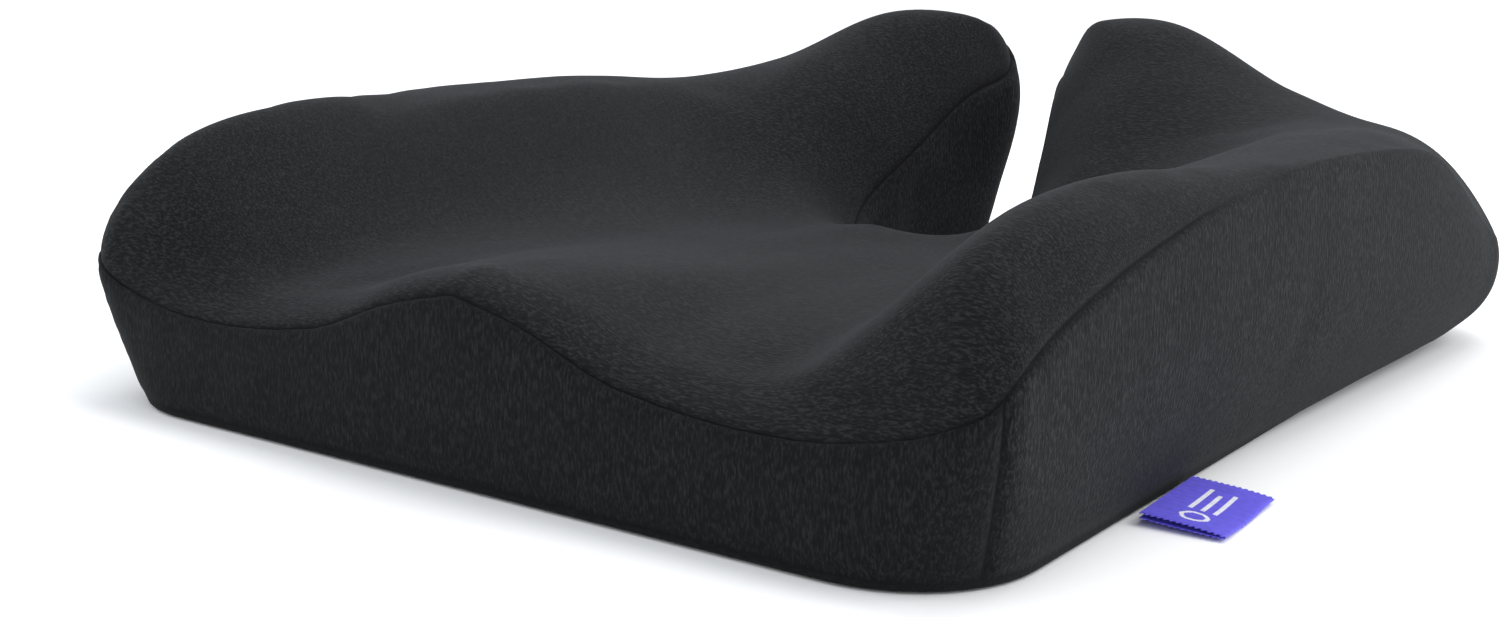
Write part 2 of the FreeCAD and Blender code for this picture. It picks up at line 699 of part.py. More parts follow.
def fold_profile(z_root, z_middle, z_tip):
    """Side view of the folded band: two layers 0.5 apart that meet in a round fold."""
    inner, outer = 0.25, 0.25 + LAYER
    tip = LABEL_REACH - outer
    places = [(1.0, z_root), (LABEL_REACH * 0.45, z_middle), (tip, z_tip)]
    over = [Vector(x, z + outer, 0) for x, z in places]
    under = [Vector(x, z + inner, 0) for x, z in places]
    low_in = [Vector(x, z - inner, 0) for x, z in places]
    low_out = [Vector(x, z - outer, 0) for x, z in places]
    return [
        ("line", over[0], over[1]), ("line", over[1], over[2]),
        ("arc", over[2], Vector(tip + outer, z_tip, 0), low_out[2]),
        ("line", low_out[2], low_out[1]), ("line", low_out[1], low_out[0]),
        ("line", low_out[0], low_in[0]), ("line", low_in[0], low_in[1]), ("line", low_in[1], low_in[2]),
        ("arc", low_in[2], Vector(tip + inner, z_tip, 0), under[2]),
        ("line", under[2], under[1]), ("line", under[1], under[0]), ("line", under[0], over[0]),
    ]


def profile_body(name, frame, profile, length):
    """Body made by padding a side view by length, evenly to both sides."""
    body = new_body(name, frame)
    sketch = new_sketch(body, name + "_profile", "XZ_Plane")
    for kind, *points in profile:
        curve = Part.LineSegment(*points) if kind == "line" else Part.Arc(*points)
        sketch.addGeometry(curve, False)
    pad(body, name + "_pad", sketch, length, True)
    return body


label_root = Vector(side_wall_x(LABEL_Y, 6) + 0.2, LABEL_Y, 0)
maker_label = profile_body(
    "maker_label", Placement(label_root, Rotation()), fold_profile(4.6, 3.2, 1.6), "Dims.label_length")

# care label: a satin band that lies up against the left rear wall from the foot seam
rear_lean = math.degrees(math.atan2(dim("tuck_rear") * 0.5, knee))
care_height = RIM + 1.5
care_place = Vector(-105, REAR_Y - dim("tuck_rear") * tuck_at(care_height), care_height)
CARE = Placement(care_place, Rotation(Vector(1, 0, 0), -rear_lean))
care_label = box(
    "care_label", ("Dims.care_width", "Dims.care_thickness", "Dims.care_reach * 0.6"),
    (-dim("care_width") / 2, 0.4, 0), CARE)


def dot_places():
    """Staggered grid of places on the base that keep clear of its outline."""
    pitch = dim("dot_pitch")
    clear = dim("tuck_side_rear") + dim("dot_radius") + 4
    places = []
    for row_index in range(-6, 7):
        y = row_index * pitch * math.sqrt(3) / 2
        for column in range(-6, 7):
            x = (column + 0.5 * (row_index % 2)) * pitch
            away = min(math.hypot(px - abs(x), py - y) for px, py in EDGE)
            if away > clear and is_inside(max(abs(x), 0.01), y):
                places.append(Vector(x, y, 0))
    return places


dots = [Part.makeCylinder(dim("dot_radius"), dim("dot_height"), place) for place in dot_places()]
grip_dots = shape_feature("grip_dots", Part.makeCompound(dots))

# ---------------------------------------------------------------- check and write

doc.recompute()
NODES = [
    foam_core, top_panel, front_panel, right_side_panel, left_side_panel, rear_right_panel,
    rear_left_panel, notch_panel, base_panel, grip_dots, zipper_tape_upper, zipper_tape_lower,
    zipper_teeth_upper, zipper_teeth_lower, zipper_top_stop, zipper_end_stop, zipper_slider,
    pull_tab, maker_label, care_label,
]
for feature in doc.Objects:
    if "Invalid" in feature.State or "Error" in feature.State:
        raise RuntimeError("failed feature: " + feature.Name)
for node in NODES:
    if node.Shape.isNull() or not node.Shape.isValid() or node.Shape.Volume <= 0:
        raise RuntimeError("bad shape: " + node.Name)
    node.Label = node.Name
    node.Shape.exportStep("parts/%s.step" % node.Label)
    bounds = node.Shape.optimalBoundingBox()
    print("%-20s %2d solids %9.1f mm3 x %.1f..%.1f y %.1f..%.1f z %.1f..%.1f" % (
        node.Label, len(node.Shape.Solids), node.Shape.Volume, bounds.XMin, bounds.XMax,
        bounds.YMin, bounds.YMax, bounds.ZMin, bounds.ZMax))
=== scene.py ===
import math

import bmesh
import bpy
import numpy as np
from mathutils import Matrix, Vector
from mathutils.bvhtree import BVHTree
from mathutils.geometry import delaunay_2d_cdt
from mathutils.kdtree import KDTree


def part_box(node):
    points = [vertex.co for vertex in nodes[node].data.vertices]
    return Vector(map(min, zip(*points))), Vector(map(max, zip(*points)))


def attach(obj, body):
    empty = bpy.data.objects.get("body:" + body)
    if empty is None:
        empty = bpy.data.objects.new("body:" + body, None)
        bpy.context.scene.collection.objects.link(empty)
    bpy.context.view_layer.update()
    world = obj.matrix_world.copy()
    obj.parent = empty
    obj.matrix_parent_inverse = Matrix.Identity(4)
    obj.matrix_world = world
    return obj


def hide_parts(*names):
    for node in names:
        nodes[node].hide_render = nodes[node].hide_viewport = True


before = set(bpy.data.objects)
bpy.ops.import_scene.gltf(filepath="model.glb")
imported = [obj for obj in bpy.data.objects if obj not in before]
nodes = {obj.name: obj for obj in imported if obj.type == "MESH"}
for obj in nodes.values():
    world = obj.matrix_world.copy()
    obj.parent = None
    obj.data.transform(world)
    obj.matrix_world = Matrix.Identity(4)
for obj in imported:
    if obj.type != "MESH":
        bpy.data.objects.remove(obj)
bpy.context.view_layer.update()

scene = bpy.context.scene

# ------------------------------------------------------------------ camera, floor and light

# found by a fit to the photograph, then fixed
CAMERA = {
    "place": (0.40203, -0.67320, 0.19570), "yaw": 37.315, "pitch": 8.485, "roll": -0.102,
    "lens": 44.66, "shift": (0.09497, -0.09070),
}


def make_camera():
    data = bpy.data.cameras.new("camera")
    data.sensor_width = 36
    data.lens = CAMERA["lens"]
    data.shift_x, data.shift_y = CAMERA["shift"]
    data.clip_start, data.clip_end = 0.05, 30
    yaw, pitch, roll = [math.radians(CAMERA[k]) for k in ("yaw", "pitch", "roll")]
    ahead = Vector((-math.sin(yaw) * math.cos(pitch), math.cos(yaw) * math.cos(pitch), -math.sin(pitch)))
    right = Vector((math.cos(yaw), math.sin(yaw), 0))
    up = right.cross(ahead)
    turned = math.cos(roll) * right + math.sin(roll) * up
    camera = bpy.data.objects.new("camera", data)
    scene.collection.objects.link(camera)
    rows = Matrix((turned, turned.cross(ahead), -ahead)).transposed().to_4x4()
    camera.matrix_world = Matrix.Translation(CAMERA["place"]) @ rows
    scene.camera = camera


def principled(name):
    material = bpy.data.materials.new(name)
    material.use_nodes = True
    shader = material.node_tree.nodes["Principled BSDF"]
    return material, material.node_tree, shader


def make_floor():
    mesh = bpy.data.meshes.new("floor")
    bm = bmesh.new()
    bmesh.ops.create_grid(bm, x_segments=4, y_segments=4, size=6)
    bm.to_mesh(mesh)
    bm.free()
    floor = bpy.data.objects.new("floor", mesh)
    scene.collection.objects.link(floor)
    material, _, shader = principled("floor_pale")
    shader.inputs["Base Color"].default_value = (0.95, 0.953, 0.96, 1)
    shader.inputs["Roughness"].default_value = 0.9
    shader.inputs["Specular IOR Level"].default_value = 0.1
    mesh.materials.append(material)


def area_light(name, place, target, size, power, colour=(1, 1, 1)):
    data = bpy.data.lights.new(name, "AREA")
    data.shape = "RECTANGLE"
    data.size, data.size_y = size
    data.energy = power
    data.color = colour
    light = bpy.data.objects.new(name, data)
    scene.collection.objects.link(light)
    light.location = place
    light.rotation_mode = "QUATERNION"
    light.rotation_quaternion = (Vector(target) - Vector(place)).to_track_quat("-Z", "Y")


def make_lights():
    area_light("key", (1.5, 0.35, 1.25), (0, 0, 0.05), (1.1, 1.1), 15, (1, 0.99, 0.97))
    area_light("top", (0.1, 0.5, 1.9), (0, 0, 0.05), (1.6, 1.2), 15)
    area_light("fill", (-1.3, -1.6, 1.0), (0, 0, 0.05), (1.6, 1.2), 5, (0.95, 0.97, 1))
    world = bpy.data.worlds.new("studio")
    world.use_nodes = True
    world.node_tree.nodes["Background"].inputs["Color"].default_value = (0.95, 0.97, 1, 1)
    world.node_tree.nodes["Background"].inputs["Strength"].default_value = 1.12
    scene.world = world


# ------------------------------------------------------------------ shape of the cover

# metres, but HEIGHTS is in millimetres. The shape is near the CAD cover's and not the same,
# because this script was tuned to the photograph after the CAD was packed.
HALF, FRONT_HALF, DEPTH = 0.227, 0.195, 0.462
FRONT_Y, REAR_Y = -DEPTH / 2, DEPTH / 2
NOTCH_R, MOUTH_HALF, MOUTH_R = 0.041, 0.015, 0.014
NOTCH_Y = REAR_Y - 0.155 + NOTCH_R
FRONT_R, REAR_R = 0.019, 0.042
TUCK_TOP = 0.056
TUCKS = {"side": 0.008, "side_rear": 0.027, "front": 0.0012, "rear": 0.010, "notch": 0.006}
TUCK_FRONT_CORNER, TUCK_REAR_CORNER = 0.027, 0.034
BASE_Z = 0.0006

# height of the top before it rolls over: a row for each section from front to rear, with six
# stations from the middle line to the side. The values began as those of a fit to the photograph,
# and were then rounded and changed.
STATIONS = (0.0, 0.15, 0.35, 0.6, 0.8, 1.0)
SECTIONS = (0.0, 0.15, 0.4, 0.67, 0.84, 1.0)
HEIGHTS = (
    (76, 69, 55, 53, 77, 125),
    (66, 64, 56, 60, 100, 133),
    (53, 52, 52, 64, 98, 127),
    (54, 51, 58, 79, 102, 119),
    (86, 96, 111, 105, 99, 104),
    (150, 169, 160, 115, 89, 82),
)
# how far the top rolls over towards its seam: width across and drop
ROLLS = {
    "front": (0.018, 0.009), "nose": (0.025, 0.041), "side": (0.042, 0.020),
    "rear": (0.046, 0.046), "notch": (0.030, 0.022),
}


def smoothstep(t):
    t = np.clip(t, 0, 1)
    return t * t * (3 - 2 * t)


def through_points(places, values, at):
    """Smooth curve through values (last axis) at the places, for an array of positions."""
    places = np.asarray(places, float)
    values = np.asarray(values, float)
    at = np.clip(at, places[0], places[-1])
    i = np.clip(np.searchsorted(places, at, side="left") - 1, 0, len(places) - 2)
    slopes = np.empty_like(values)
    slopes[..., 1:-1] = (values[..., 2:] - values[..., :-2]) / (places[2:] - places[:-2])
    slopes[..., 0] = (values[..., 1] - values[..., 0]) / (places[1] - places[0])
    slopes[..., -1] = (values[..., -1] - values[..., -2]) / (places[-1] - places[-2])

    def pick(a, k):
        if a.ndim == 1:
            return a[k]
        return a[np.arange(len(k)), k]

    step = places[i + 1] - places[i]
    u = (at - places[i]) / step
    low, high = pick(values, i), pick(values, i + 1)
    rise = high - low
    bend = (pick(slopes, i) * step - rise) * (1 - u) - (pick(slopes, i + 1) * step - rise) * u
    return low + rise * u + u * (1 - u) * bend


def unrolled_height(x, y):
    along = (y - FRONT_Y) / DEPTH
    width = FRONT_HALF + (HALF - FRONT_HALF) * np.clip(along / 0.88, 0, 1)
    across = np.abs(x) / width
    column = np.stack([through_points(STATIONS, h, across) for h in HEIGHTS], axis=1)
    return through_points(SECTIONS, column, along) / 1000


def arcs_of(tuck, draw_in=0.0):
    """Arcs of the right half of the outline, from the front corner to the notch's end."""
    t = {k: v * tuck + draw_in for k, v in TUCKS.items()}
    half, front_half = HALF - t["side_rear"], FRONT_HALF - t["side"]
    low, high = FRONT_Y + t["front"], REAR_Y - t["rear"]
    front_r = FRONT_R + TUCK_FRONT_CORNER * tuck - draw_in
    rear_r = REAR_R + TUCK_REAR_CORNER * tuck - draw_in
    mouth_r = MOUTH_R - (t["rear"] + t["notch"]) / 2
    notch_r = NOTCH_R + t["notch"]
    mouth = (MOUTH_HALF + t["notch"] + mouth_r, high - mouth_r)
    away = (mouth[0], mouth[1] - NOTCH_Y)
    lean = math.atan2(away[1], away[0]) - math.acos((mouth_r + notch_r) / math.hypot(*away))
    return [
        ((front_half - front_r, low + front_r), front_r, -math.pi / 2, 0.0),
        ((half - rear_r, high - rear_r), rear_r, 0.0, math.pi / 2),
        (mouth, mouth_r, math.pi / 2, math.pi + lean),
        ((0.0, NOTCH_Y), notch_r, lean, -math.pi / 2),
    ]


# how many steps each run of the half outline is cut into: front, corner, side, corner, rear,
# mouth, notch wall, notch end
STEPS = (52, 12, 96, 24, 34, 12, 26, 16)


def half_outline(tuck, draw_in=0.0):
    """Points of the right half, the same number at every height, from the front middle on."""
    arcs = arcs_of(tuck, draw_in)

    def on_arc(arc, share):
        (cx, cy), r, a, b = arc
        angle = a + (b - a) * share
        return np.stack([cx + r * np.cos(angle), cy + r * np.sin(angle)], axis=1)

    points = []
    last = np.array([[0.0, FRONT_Y + TUCKS["front"] * tuck + draw_in]])
    for k, arc in enumerate(arcs):
        start = on_arc(arc, np.array([0.0]))
        share = np.linspace(0, 1, STEPS[2 * k] + 1)[:-1, None]
        points.append(last + (start - last) * share)
        points.append(on_arc(arc, np.linspace(0, 1, STEPS[2 * k + 1] + 1)[:-1]))
        last = on_arc(arc, np.array([1.0]))
    points.append(last)
    return np.concatenate(points)


def full_outline(tuck, draw_in=0.0):
    half = half_outline(tuck, draw_in)
    mirrored = half[-2:0:-1] * (-1, 1)
    return np.concatenate([half, mirrored])


def evened(values, reach):
    kernel = np.ones(2 * reach + 1) / (2 * reach + 1)
    return np.convolve(np.pad(values, reach, mode="edge"), kernel, mode="valid")


def dense_half():
    """Half outline at even 0.6 mm steps with the roll-over's width and drop at each point."""
    half = half_outline(0)
    run = np.concatenate([[0], np.cumsum(np.linalg.norm(np.diff(half, axis=0), axis=1))])
    at = np.linspace(0, run[-1], int(run[-1] / 0.0006) + 1)
    points = np.stack([np.interp(at, run, half[:, k]) for k in (0, 1)], axis=1)
    x, y = points.T
    along = (y - FRONT_Y) / DEPTH
    in_notch = (x < 0.07) & (y > NOTCH_Y - 0.06) & (y < REAR_Y - 0.03)
    middle = np.where(along < 0.03, smoothstep((FRONT_HALF - x) / 0.045), 0.0)
    later = smoothstep((along - 0.12) / 0.38)
    rear = np.where(in_notch, 0.0, smoothstep((along - 0.72) / 0.2))
    rolls = []
    for k in (0, 1):
        start = np.where(in_notch, ROLLS["notch"][k], ROLLS["nose"][k])
        end = np.where(in_notch, ROLLS["notch"][k], ROLLS["side"][k])
        value = middle * ROLLS["front"][k] + (1 - middle) * (start * (1 - later) + end * later)
        value = value + (ROLLS["rear"][k] - value) * rear
        rolls.append(evened(evened(value, 30), 30))
    return points, rolls[0], rolls[1]


EDGE, ROLL_WIDTH, ROLL_DROP = dense_half()


def rolled_height(x, y):
    """Height of the cover's top at points on or inside the outline."""
    x, y = np.abs(np.asarray(x, float)), np.asarray(y, float)
    fall = np.zeros_like(x)
    for (px, py), width, drop in zip(EDGE, ROLL_WIDTH, ROLL_DROP):
        away = np.hypot(px - x, py - y)
        share = np.clip(1 - away / (1.1 * width), 0, 1)
        fall = np.maximum(fall, drop * share ** 2.2)
    return unrolled_height(x, y) - fall


# height of the sewn edge against the way round from the front middle, where the cover's own
# roll-over doesn't give it closely enough. A separate script worked these rows out from the
# photograph's seam, seen through CAMERA.
SEAM_LINE = (
    (0.072, 0.0455), (0.084, 0.0434), (0.096, 0.0422), (0.108, 0.0413), (0.120, 0.0411),
    (0.132, 0.0414), (0.144, 0.0425), (0.156, 0.0447), (0.168, 0.0475), (0.179, 0.0514),
    (0.186, 0.0545), (0.194, 0.0585), (0.2033, 0.0655), (0.2153, 0.0718), (0.2283, 0.0763),
    (0.2403, 0.0800), (0.2533, 0.0830), (0.2653, 0.0862), (0.2783, 0.0888), (0.2903, 0.0913),
    (0.3033, 0.0940), (0.3153, 0.0964), (0.3283, 0.0976), (0.3403, 0.0988), (0.3653, 0.0998),
)


def settle_seam():
    """How far each point of EDGE is moved to lie on SEAM_LINE."""
    run = np.concatenate([[0], np.cumsum(np.linalg.norm(np.diff(EDGE, axis=0), axis=1))])
    at, wanted = np.array(SEAM_LINE).T
    inside = smoothstep((run - at[0] + 0.006) / 0.012) * smoothstep((at[-1] + 0.02 - run) / 0.04)
    return (np.interp(run, at, wanted) - rolled_height(*EDGE.T)) * inside


SEAM_SHIFT = settle_seam()


def top_height(x, y):
    """Height of the cover's top, with the sewn edge on SEAM_LINE."""
    x, y = np.abs(np.asarray(x, float)), np.asarray(y, float)
    near = np.full(x.shape, 9.0)
    shift = np.zeros_like(x)
    for (px, py), change in zip(EDGE, SEAM_SHIFT):
        away = np.hypot(px - x, py - y)
        shift = np.where(away < near, change, shift)
        near = np.minimum(near, away)
    return rolled_height(x, y) + shift * np.exp(-((near / 0.012) ** 2))


def tuck_at(z, power):
    """Share of the wall's tuck: strongest at the floor, none above TUCK_TOP."""
    return np.clip(1 - z / TUCK_TOP, 0, 1) ** power


# ------------------------------------------------------------------ the cover's mesh

WALL_ROWS = 22
SEAM_Z = 0.0036
# height and inset of the base's rows, from its sewn edge inwards
RIM_ROWS = (
    (0.0024, -0.0007), (0.0012, -0.0003), (0.0007, 0.0006), (BASE_Z, 0.0020), (BASE_Z, 0.0036),
)
# the top's first rows, from the sewn edge inwards
INSETS = (0.0012, 0.003, 0.0056, 0.009)
# the piece each wall column belongs to, by steps from the front middle
MOUTH_STEP = sum(STEPS[:5])
FRONT_END = STEPS[0] + 8
SIDE_END = sum(STEPS[:3]) + 10
REAR_END = MOUTH_STEP + 6
HALF_STEPS = sum(STEPS)
AROUND = 2 * HALF_STEPS
# how far the notch's walls lean in at their foot
NOTCH_LEAN = 0.011


def wall_piece(column):
    """Name of the wall piece that a column of faces belongs to."""
    right = column < HALF_STEPS
    step = column if right else AROUND - 1 - column
    if step < FRONT_END:
        return "front"
    if step < SIDE_END:
        return "side"
    if step < REAR_END:
        return "rear"
    return "notch"


PIECES = ("top", "front", "side", "rear", "notch", "base")


def column_facts():
    """Outward direction, tuck power, bulge and lean of every column."""
    rim = full_outline(0)
    along = np.roll(rim, -1, axis=0) - np.roll(rim, 1, axis=0)
    out = np.column_stack([along[:, 1], -along[:, 0]])
    out /= np.linalg.norm(out, axis=1, keepdims=True)
    column = np.arange(AROUND)
    step = np.where(column < HALF_STEPS, column, AROUND - column).astype(float)
    deep = (rim[:, 1] - FRONT_Y) / DEPTH
    power = 1.25 + 3.6 * smoothstep((deep - 0.25) / 0.6)
    mouth = np.exp(-(((step - MOUTH_STEP - 5) / 13) ** 2))
    notch = smoothstep((step - MOUTH_STEP - 2) / 14)
    rear = smoothstep((deep - 0.3) / 0.6) * (1 - notch)
    bulge = 0.0008 + 0.0010 * rear + 0.0052 * mouth
    lean = NOTCH_LEAN * smoothstep((step - MOUTH_STEP + 8) / 12)
    lean = lean * smoothstep((rim[:, 1] - NOTCH_Y) / 0.05)
    return out, power, bulge, lean


COLUMN_OUT, COLUMN_POWER, COLUMN_BULGE, COLUMN_LEAN = column_facts()
LEAN_SHARE = COLUMN_LEAN / NOTCH_LEAN
TUCK_LEVELS = 32


def eased(ring, share, rounds=30):
    """The closed line smoothed where share is above 0, so that a tight corner doesn't cross itself."""
    share = share[:, None]
    for _ in range(rounds):
        ring = ring + 0.5 * share * ((np.roll(ring, 1, 0) + np.roll(ring, -1, 0)) / 2 - ring)
    return ring


def wall_points(z, share_down):
    """Point of every column at its own height z, an array with one height per column."""
    levels = np.stack([full_outline(t) for t in np.linspace(0, 1, TUCK_LEVELS + 1)])
    at = np.clip(tuck_at(z, COLUMN_POWER), 0, 1) * TUCK_LEVELS
    low = np.clip(at.astype(int), 0, TUCK_LEVELS - 1)
    column = np.arange(AROUND)
    part = (at - low)[:, None]
    flat = levels[low, column] * (1 - part) + levels[low + 1, column] * part
    down = smoothstep(share_down)
    swell = COLUMN_BULGE * np.sin(math.pi * share_down ** 0.6) - COLUMN_LEAN * down
    line = eased(flat + COLUMN_OUT * swell[:, None], LEAN_SHARE * down)
    return np.column_stack([line, z])


def inside_grid(pitch, margin):
    """Grid points further than margin inside the outline."""
    edge = np.concatenate([EDGE, EDGE * (-1, 1)])[::4]
    loop = full_outline(0)
    x = np.arange(-math.ceil(HALF / pitch), math.ceil(HALF / pitch) + 1) * pitch
    y = np.arange(FRONT_Y, REAR_Y, pitch)
    points = np.stack(np.meshgrid(x, y), axis=-1).reshape(-1, 2)
    a, b = loop, np.roll(loop, -1, axis=0)
    px, py = points[:, :1], points[:, 1:]
    crosses = (a[:, 1] > py) != (b[:, 1] > py)
    slope = (b[:, 0] - a[:, 0]) / np.where(a[:, 1] == b[:, 1], 1e-9, b[:, 1] - a[:, 1])
    inside = (crosses & (px < a[:, 0] + (py - a[:, 1]) * slope)).sum(axis=1) % 2 == 1
    away = np.sqrt(((points[:, None] - edge) ** 2).sum(axis=-1)).min(axis=1)
    return points[inside & (away > margin)]


def filled(loop, inner):
    """Triangles that fill a loop through the inner points, as indices into loop + inner."""
    points = [Vector(p) for p in np.concatenate([loop, inner])]
    edges = [(i, (i + 1) % len(loop)) for i in range(len(loop))]
    found = delaunay_2d_cdt(points, edges, [], 1, 1e-7)
    return [[found[3][i][0] for i in face] for face in found[2]]


class Shell:
    """The closed cover: positions, faces, each face's piece and each corner's cloth place."""

    def __init__(self):
        self.points, self.faces, self.piece, self.uv = [], [], [], []

    def add(self, points):
        start = sum(len(p) for p in self.points)
        self.points.append(np.asarray(points, float))
        return np.arange(start, start + len(points))

    def face(self, corners, piece, uv):
        self.faces.append([int(c) for c in corners])
        self.piece.append(PIECES.index(piece))
        self.uv.extend(uv)


def build_shell():
    shell = Shell()
    rim = full_outline(0)
    seam_z = top_height(*rim.T)
    run = np.concatenate([[0], np.cumsum(np.linalg.norm(np.roll(rim, -1, 0) - rim, axis=1))])
    seam = shell.add(np.column_stack([rim, seam_z]))
    rings = [seam]
    for inset in INSETS:
        ring = full_outline(0, inset)
        rings.append(shell.add(np.column_stack([ring, top_height(*ring.T)])))
    places = {}

    def flat_uv(corners):
        return [tuple(places[int(c)]) for c in corners]

    def note(indices):
        for i, p in zip(indices, shell.points[-1]):
            places[int(i)] = p[:2]

    for k, ring in enumerate(rings):
        for i, p in zip(ring, shell.points[k]):
            places[int(i)] = p[:2]
    for outer, inner in zip(rings, rings[1:]):
        for c in range(AROUND):
            d = (c + 1) % AROUND
            corners = (outer[c], outer[d], inner[d], inner[c])
            shell.face(corners, "top", flat_uv(corners))
    last = rings[-1]
    loop = np.array([places[int(i)] for i in last])
    grid = inside_grid(0.0046, INSETS[-1] + 0.003)
    inner = shell.add(np.column_stack([grid, top_height(*grid.T)]))
    note(inner)
    names = np.concatenate([last, inner])
    for triangle in filled(loop, grid):
        corners = names[triangle]
        shell.face(corners, "top", flat_uv(corners))

    depth = seam_z - SEAM_Z
    near = np.array([0.0012, 0.003, 0.0056])
    rows = [seam]
    drops = [np.zeros(AROUND)]
    for k in range(1, WALL_ROWS + 1):
        if k <= len(near):
            drop = np.minimum(near[k - 1], depth * k / WALL_ROWS)
        else:
            share = (k - len(near)) / (WALL_ROWS - len(near))
            start = np.minimum(near[-1], depth * len(near) / WALL_ROWS)
            drop = start + (depth - start) * share
        rows.append(shell.add(wall_points(seam_z - drop, drop / depth)))
        drops.append(drop)
    for upper, lower, high, low in zip(rows, rows[1:], drops, drops[1:]):
        for c in range(AROUND):
            d = (c + 1) % AROUND
            back = 0 if c < HALF_STEPS else run[-1]
            s, t = run[c] - back, run[c + 1] - back
            corners = (lower[c], lower[d], upper[d], upper[c])
            uv = [(s, -low[c]), (t, -low[d]), (t, -high[d]), (s, -high[c])]
            shell.face(corners, wall_piece(c), uv)

    foot = rows[-1]
    under = [foot]
    lean = COLUMN_OUT * COLUMN_LEAN[:, None]
    for z, inset in RIM_ROWS:
        ring = eased(full_outline(1, inset) - lean, LEAN_SHARE)
        under.append(shell.add(np.column_stack([ring, np.full(AROUND, z)])))
        note(under[-1])
    for i, p in zip(foot, shell.points[len(rings) + WALL_ROWS]):
        places[int(i)] = p[:2]
    for upper, lower in zip(under, under[1:]):
        for c in range(AROUND):
            d = (c + 1) % AROUND
            corners = (lower[c], lower[d], upper[d], upper[c])
            shell.face(corners, "base", flat_uv(corners))
    grid = inside_grid(0.016, 0.045)
    inner = shell.add(np.column_stack([grid, np.full(len(grid), BASE_Z)]))
    note(inner)
    every = np.concatenate([under[-1], inner])
    for triangle in filled(ring, grid):
        corners = every[triangle][::-1]
        shell.face(corners, "base", flat_uv(corners))

    points = np.concatenate(shell.points)
    return shell, points, rows, under, run


def seam_columns():
    ends = [FRONT_END, SIDE_END, REAR_END]
    return ends + [AROUND - e for e in ends]


def make_mesh(name, points, faces):
    mesh = bpy.data.meshes.new(name)
    mesh.from_pydata([tuple(p) for p in points], [], faces)
    mesh.update()
    return mesh


def link(name, mesh):
    thing = bpy.data.objects.new(name, mesh)
    scene.collection.objects.link(thing)
    return thing


def positions(mesh):
    out = np.empty(len(mesh.vertices) * 3)
    mesh.vertices.foreach_get("co", out)
    return out.reshape(-1, 3)


def set_positions(mesh, points):
    mesh.vertices.foreach_set("co", points.ravel())
    mesh.update()


def normals(mesh):
    out = np.empty(len(mesh.vertices) * 3)
    mesh.vertex_normals.foreach_get("vector", out)
    return out.reshape(-1, 3)


def bake_modifiers(thing):
    """Replaces the object's mesh by its evaluated one, with no modifier left."""
    graph = bpy.context.evaluated_depsgraph_get()
    graph.update()
    mesh = bpy.data.meshes.new_from_object(
        thing.evaluated_get(graph), preserve_all_data_layers=True, depsgraph=graph
    )
    thing.modifiers.clear()
    thing.data = mesh
    return mesh


def merge_triangles(mesh):
    bm = bmesh.new()
    bm.from_mesh(mesh)
    triangles = [f for f in bm.faces if len(f.verts) == 3]
    bmesh.ops.join_triangles(
        bm, faces=triangles, angle_face_threshold=0.6, angle_shape_threshold=0.6, cmp_uvs=False,
        cmp_materials=True,
    )
    bm.to_mesh(mesh)
    bm.free()


def settled(mesh, shift, rounds=4):
    """The moves, averaged with those of the neighbours, so that fine ripples go."""
    edges = np.empty(len(mesh.edges) * 2, int)
    mesh.edges.foreach_get("vertices", edges)
    a, b = edges.reshape(-1, 2).T
    for _ in range(rounds):
        total, count = shift.copy(), np.ones(len(shift))
        np.add.at(total, a, shift[b])
        np.add.at(total, b, shift[a])
        np.add.at(count, a, 1)
        np.add.at(count, b, 1)
        shift = total / count[:, None]
    return shift


def puff(thing, pins, pressure=4.0, grow=-0.002, cap=0.0025):
    """Cloth under pressure between its seams, smoothed and held to moves of about cap.

    Returns the longest smoothed move before it is held.
    """
    before = positions(thing.data)
    group = thing.vertex_groups.new(name="pins")
    group.add([int(i) for i in pins], 1.0, "REPLACE")
    cloth = thing.modifiers.new("cloth", "CLOTH")
    settings = cloth.settings
    settings.quality = 4
    settings.mass = 0.3
    settings.tension_stiffness = 12
    settings.compression_stiffness = 12
    settings.shear_stiffness = 6
    settings.bending_stiffness = 0.25
    settings.use_pressure = True
    settings.uniform_pressure_force = pressure
    settings.shrink_min = grow
    settings.vertex_group_mass = "pins"
    settings.effector_weights.gravity = 0
    cloth.collision_settings.use_collision = False
    for frame_number in range(1, 21):
        scene.frame_set(frame_number)
    graph = bpy.context.evaluated_depsgraph_get()
    moved = positions(thing.evaluated_get(graph).data)
    thing.modifiers.clear()
    thing.vertex_groups.clear()
    scene.frame_set(1)
    shift = settled(thing.data, moved - before)
    shift[pins] = 0
    length = np.linalg.norm(shift, axis=1, keepdims=True)
    shift *= cap * np.tanh(length / cap) / np.maximum(length, 1e-9)
    set_positions(thing.data, before + shift)
    return float(length.max())


def wave(at, seed, pitches):
    """Smooth noise along a line, from -1 to 1, made of a few sines of drifting pitch."""
    state = np.random.default_rng(seed)
    total = np.zeros_like(at)
    for pitch in pitches:
        drift = 0.35 * np.sin(at / (pitch * state.uniform(5, 9)) + state.uniform(0, 6))
        total += np.sin(2 * math.pi * (at / pitch + drift) + state.uniform(0, 6))
    return total / len(pitches)


# how far the zip's plane comes in per metre towards the front, as its slide axis does
ZIP_SLANT = 0.0611
# the wall beside the zip stands this far outside the tapes, and the pocket goes in from there
WALL_PROUD, POCKET_DEPTH, LIP_HEIGHT = 0.0008, 0.0016, 0.0005
# length and half width of the room for the pull tab past the zip's rear end
TAB_ROOM_LENGTH, TAB_ROOM_HALF = 0.028, 0.004


